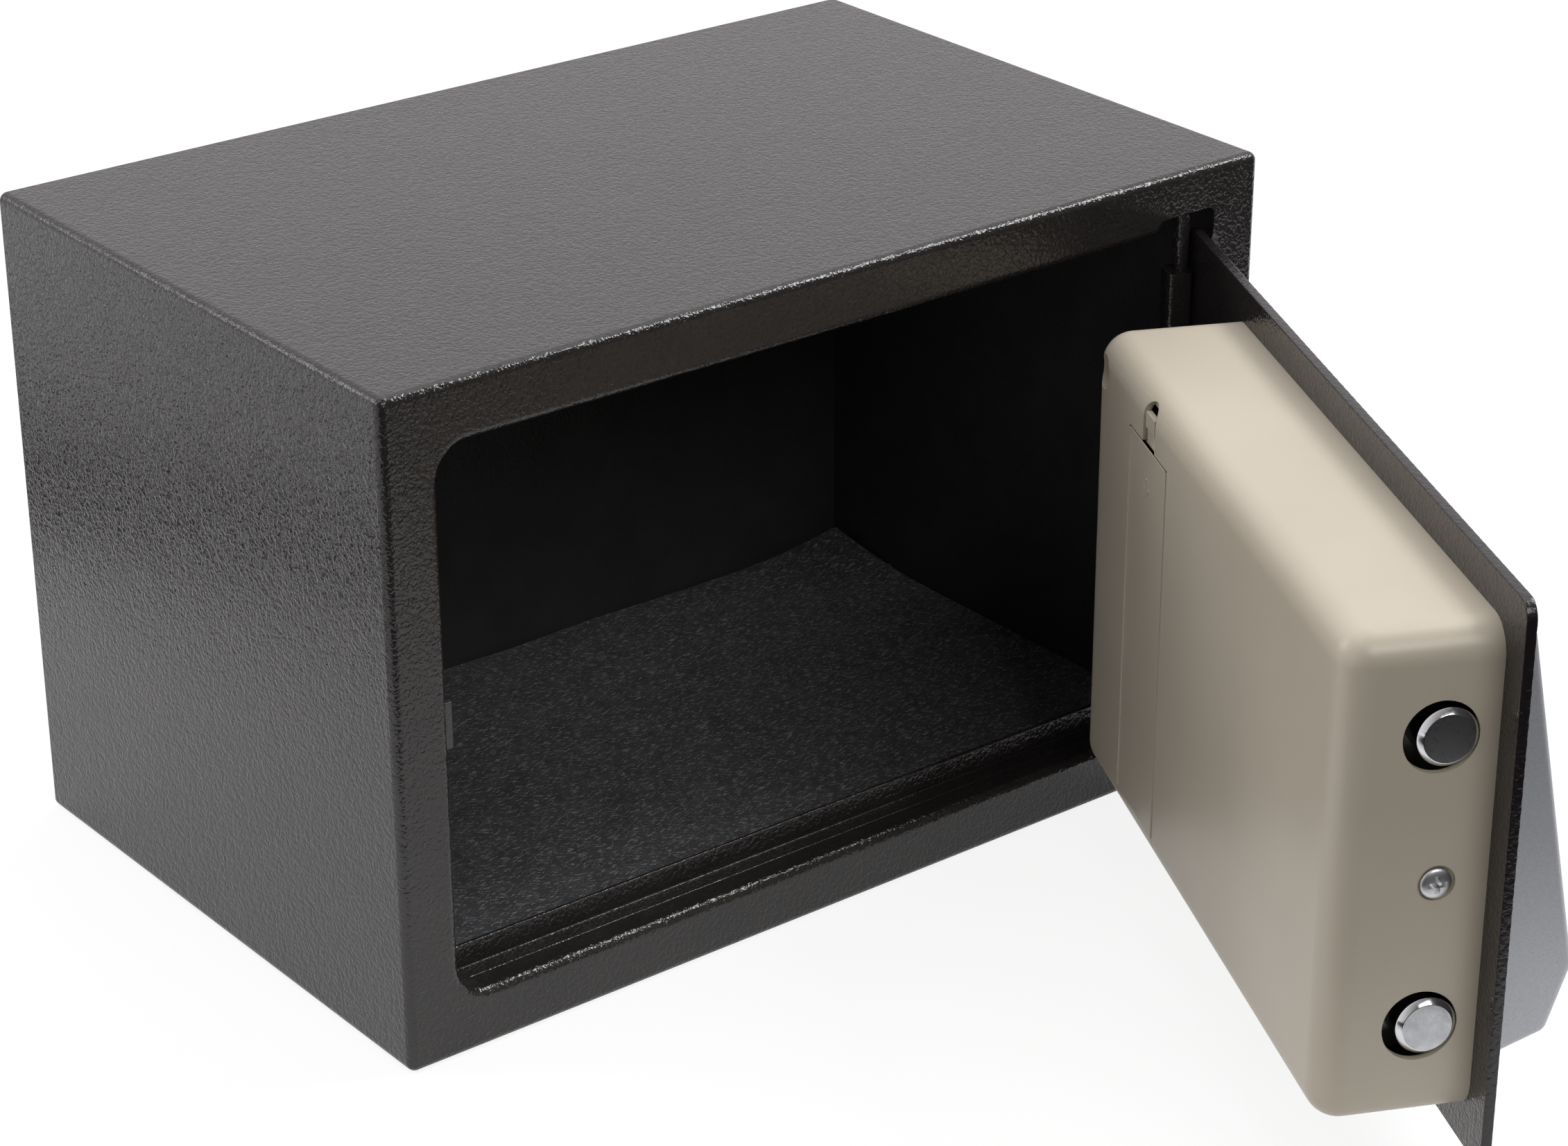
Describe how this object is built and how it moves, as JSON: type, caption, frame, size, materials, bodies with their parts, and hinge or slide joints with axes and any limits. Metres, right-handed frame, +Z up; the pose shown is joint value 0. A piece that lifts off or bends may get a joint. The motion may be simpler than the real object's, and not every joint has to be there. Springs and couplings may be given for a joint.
{
  "type": "in-room safe",
  "caption": "Sheet steel in-room safe with a felt floor mat and a hinged door that carries two motor-driven locking bolts, a moulded lock cover and a wedge keypad.",
  "frame": {"origin": "centre of the two base anchor holes, on the body's underside", "axes": "+X to the right seen from the front, +Y from the front to the back, +Z up"},
  "size_m": [0.31, 0.436, 0.2],
  "materials": {
    "powder_coat": "orange-peel gloss powder coat",
    "interior_coat": "smooth black powder coat",
    "felt": "needle felt",
    "cover_plastic": "fine matt moulded",
    "bolt_steel": "chrome plated, brushed ends",
    "zinc_steel": "zinc plated",
    "screw_steel": "zinc plated, bright",
    "yellow_zinc": "yellow passivated zinc",
    "housing_plastic": "silver-grey painted plastic",
    "key_plastic": "satin keys with pale numerals",
    "window": "tinted gloss window",
    "black_plastic": "moulded",
    "white_plastic": "moulded acetal",
    "rubber": "moulded",
    "board": "solder mask",
    "cell_wrap": "plain sleeve",
    "nickel": "nickel plated",
    "motor_can": "plated steel"
  },
  "bodies": {
    "safe_body": {"body_shell": "powder_coat", "back_panel": "interior_coat", "front_frame": "powder_coat", "sill_strip": "powder_coat", "door_stop_tab": "interior_coat", "upper_hinge_bracket": "interior_coat", "lower_hinge_bracket": "interior_coat", "floor_mat": "felt"},
    "door": {"door_plate": "powder_coat", "hinge_bar": "powder_coat", "hinge_pins": "zinc_steel", "hinge_spacer": "zinc_steel", "lock_cover": "cover_plastic", "cover_screws": "screw_steel", "cover_bracket": "zinc_steel", "bolt_guide": "zinc_steel", "carrier_pins": "screw_steel", "gearbox": "white_plastic", "drive_motor": "motor_can", "motor_bracket": "zinc_steel", "battery_tray": "black_plastic", "battery_1": "cell_wrap", "battery_2": "cell_wrap", "battery_3": "cell_wrap", "battery_4": "cell_wrap", "battery_contacts": "nickel", "circuit_board": "board", "board_posts": "screw_steel", "reset_switch": "black_plastic", "wire_grommet": "rubber", "keypad_housing": "housing_plastic", "keypad_board": "board", "key_mat": "rubber", "display_window": "window", "keypad_screws": "screw_steel", "lock_barrel": "nickel"},
    "bolt_work": {"bolt_carrier": "yellow_zinc", "bolt_upper": "bolt_steel", "bolt_lower": "bolt_steel", "bolt_nuts": "screw_steel"},
    "drive_gear": {"drive_pinion": "white_plastic"},
    "battery_door": {"battery_cover": "cover_plastic"},
    "reset": {"reset_button": "white_plastic"},
    "override_lock": {"lock_plug": "nickel", "lock_cam": "nickel"},
    "override_cover": {"override_cap": "housing_plastic"},
    "press_key_1": {"key_1": "key_plastic"},
    "press_key_2": {"key_2": "key_plastic"},
    "press_key_3": {"key_3": "key_plastic"},
    "press_key_4": {"key_4": "key_plastic"},
    "press_key_5": {"key_5": "key_plastic"},
    "press_key_6": {"key_6": "key_plastic"},
    "press_key_7": {"key_7": "key_plastic"},
    "press_key_8": {"key_8": "key_plastic"},
    "press_key_9": {"key_9": "key_plastic"},
    "press_key_left": {"key_left": "key_plastic"},
    "press_key_0": {"key_0": "key_plastic"},
    "press_key_right": {"key_right": "key_plastic"}
  },
  "joints": [
    {"name": "door_swing", "type": "hinge", "parent": "safe_body", "child": "door", "pos_m": [0.1307, -0.0937, 0.1], "axis": [0, 0, 1], "range_deg": [-64, 32]},
    {"name": "bolt_throw", "type": "slide", "parent": "door", "child": "bolt_work", "axis": [-0.4384, -0.8988, 0], "range_m": [0, 0.018]},
    {"name": "drive_turn", "type": "hinge", "parent": "door", "child": "drive_gear", "pos_m": [0.04125, -0.2292, 0.07381], "axis": [0.8988, -0.4384, 0], "range_deg": [0, 118.2]},
    {"name": "battery_door_slide", "type": "slide", "parent": "door", "child": "battery_door", "axis": [0, 0, -1], "range_m": [0, 0.025]},
    {"name": "reset_press", "type": "slide", "parent": "door", "child": "reset", "axis": [0.8988, -0.4384, 0], "range_m": [0, 0.001], "stiffness_N_per_m": 400, "springref_m": -0.0005},
    {"name": "override_turn", "type": "hinge", "parent": "door", "child": "override_lock", "pos_m": [0.03619, -0.26011, 0.0796], "axis": [0.8988, -0.4384, 0], "range_deg": [-90, 0]},
    {"name": "override_cover_pull", "type": "slide", "parent": "door", "child": "override_cover", "axis": [0.8845, -0.4314, 0.1778], "range_m": [0, 0.015]},
    {"name": "push_key_1", "type": "slide", "parent": "door", "child": "press_key_1", "axis": [-0.8845, 0.4314, -0.1778], "range_m": [0, 0.0008], "stiffness_N_per_m": 800, "springref_m": -0.0006},
    {"name": "push_key_2", "type": "slide", "parent": "door", "child": "press_key_2", "axis": [-0.8845, 0.4314, -0.1778], "range_m": [0, 0.0008], "stiffness_N_per_m": 800, "springref_m": -0.0006},
    {"name": "push_key_3", "type": "slide", "parent": "door", "child": "press_key_3", "axis": [-0.8845, 0.4314, -0.1778], "range_m": [0, 0.0008], "stiffness_N_per_m": 800, "springref_m": -0.0006},
    {"name": "push_key_4", "type": "slide", "parent": "door", "child": "press_key_4", "axis": [-0.8845, 0.4314, -0.1778], "range_m": [0, 0.0008], "stiffness_N_per_m": 800, "springref_m": -0.0006},
    {"name": "push_key_5", "type": "slide", "parent": "door", "child": "press_key_5", "axis": [-0.8845, 0.4314, -0.1778], "range_m": [0, 0.0008], "stiffness_N_per_m": 800, "springref_m": -0.0006},
    {"name": "push_key_6", "type": "slide", "parent": "door", "child": "press_key_6", "axis": [-0.8845, 0.4314, -0.1778], "range_m": [0, 0.0008], "stiffness_N_per_m": 800, "springref_m": -0.0006},
    {"name": "push_key_7", "type": "slide", "parent": "door", "child": "press_key_7", "axis": [-0.8845, 0.4314, -0.1778], "range_m": [0, 0.0008], "stiffness_N_per_m": 800, "springref_m": -0.0006},
    {"name": "push_key_8", "type": "slide", "parent": "door", "child": "press_key_8", "axis": [-0.8845, 0.4314, -0.1778], "range_m": [0, 0.0008], "stiffness_N_per_m": 800, "springref_m": -0.0006},
    {"name": "push_key_9", "type": "slide", "parent": "door", "child": "press_key_9", "axis": [-0.8845, 0.4314, -0.1778], "range_m": [0, 0.0008], "stiffness_N_per_m": 800, "springref_m": -0.0006},
    {"name": "push_key_left", "type": "slide", "parent": "door", "child": "press_key_left", "axis": [-0.8845, 0.4314, -0.1778], "range_m": [0, 0.0008], "stiffness_N_per_m": 800, "springref_m": -0.0006},
    {"name": "push_key_0", "type": "slide", "parent": "door", "child": "press_key_0", "axis": [-0.8845, 0.4314, -0.1778], "range_m": [0, 0.0008], "stiffness_N_per_m": 800, "springref_m": -0.0006},
    {"name": "push_key_right", "type": "slide", "parent": "door", "child": "press_key_right", "axis": [-0.8845, 0.4314, -0.1778], "range_m": [0, 0.0008], "stiffness_N_per_m": 800, "springref_m": -0.0006}
  ],
  "couplings": [
    {"joint": "drive_turn", "follows": "bolt_throw", "rad_per_m": 114.29}
  ]
}
